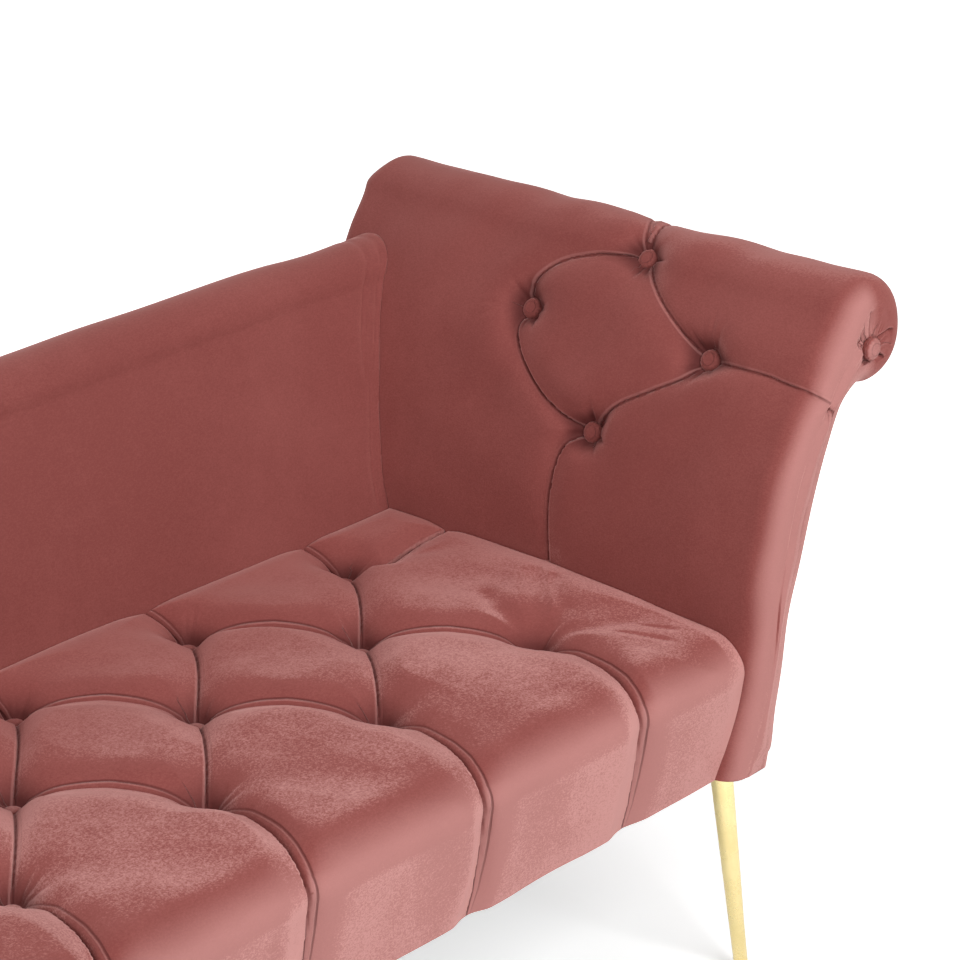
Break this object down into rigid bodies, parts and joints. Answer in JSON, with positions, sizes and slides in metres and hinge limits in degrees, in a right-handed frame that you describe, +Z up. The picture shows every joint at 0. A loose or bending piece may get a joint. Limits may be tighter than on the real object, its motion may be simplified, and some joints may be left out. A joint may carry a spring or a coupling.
{
  "type": "fainting couch",
  "caption": "Upholstered fainting couch with a deep-buttoned seat, one scrolled arm, a swept back and slim splayed metal legs.",
  "frame": {"origin": "on the floor, midway along the length and the depth", "axes": "+X towards the scrolled arm at the head end, +Y towards the back, +Z up"},
  "size_m": [1.7478, 0.7163, 0.7782],
  "materials": {
    "velvet": "short-pile velvet with a strong sheen",
    "button_velvet": "velvet drawn over a button",
    "leg_metal": "satin gold",
    "glide": "black moulded",
    "nut_steel": "zinc plated",
    "timber": "planed, unfinished",
    "board": "plywood",
    "foam": "open-cell foam",
    "lining": "non-woven cloth"
  },
  "bodies": {
    "root": {"arm_button_1": "button_velvet", "arm_button_2": "button_velvet", "arm_button_3": "button_velvet", "arm_button_4": "button_velvet", "arm_pad": "velvet", "arm_panel_front": "board", "arm_panel_rear": "board", "arm_rail_low": "timber", "arm_rail_scroll": "timber", "back_pad": "velvet", "back_post_foot": "timber", "back_post_head": "timber", "back_post_middle": "timber", "back_rail_low": "timber", "back_rail_top": "timber", "brace_1": "timber", "brace_2": "timber", "corner_post_foot_front": "timber", "corner_post_foot_rear": "timber", "corner_post_head_front": "timber", "corner_post_head_rear": "timber", "deck": "board", "dust_cover": "lining", "leg_foot_front": "leg_metal", "leg_foot_rear": "leg_metal", "leg_glide_foot_front": "glide", "leg_glide_foot_rear": "glide", "leg_glide_head_front": "glide", "leg_glide_head_rear": "glide", "leg_head_front": "leg_metal", "leg_head_rear": "leg_metal", "leg_nut_foot_front": "nut_steel", "leg_nut_foot_rear": "nut_steel", "leg_nut_head_front": "nut_steel", "leg_nut_head_rear": "nut_steel", "rail_foot": "timber", "rail_front": "timber", "rail_head": "timber", "rail_rear": "timber", "rosette_button": "button_velvet", "seat_button_1_1": "button_velvet", "seat_button_1_2": "button_velvet", "seat_button_1_3": "button_velvet", "seat_button_1_4": "button_velvet", "seat_button_1_5": "button_velvet", "seat_button_1_6": "button_velvet", "seat_button_2_1": "button_velvet", "seat_button_2_2": "button_velvet", "seat_button_2_3": "button_velvet", "seat_button_2_4": "button_velvet", "seat_button_2_5": "button_velvet", "seat_button_3_1": "button_velvet", "seat_button_3_2": "button_velvet", "seat_button_3_3": "button_velvet", "seat_button_3_4": "button_velvet", "seat_button_3_5": "button_velvet", "seat_button_3_6": "button_velvet", "seat_foam": "foam", "seat_pad": "velvet"}
  },
  "joints": []
}
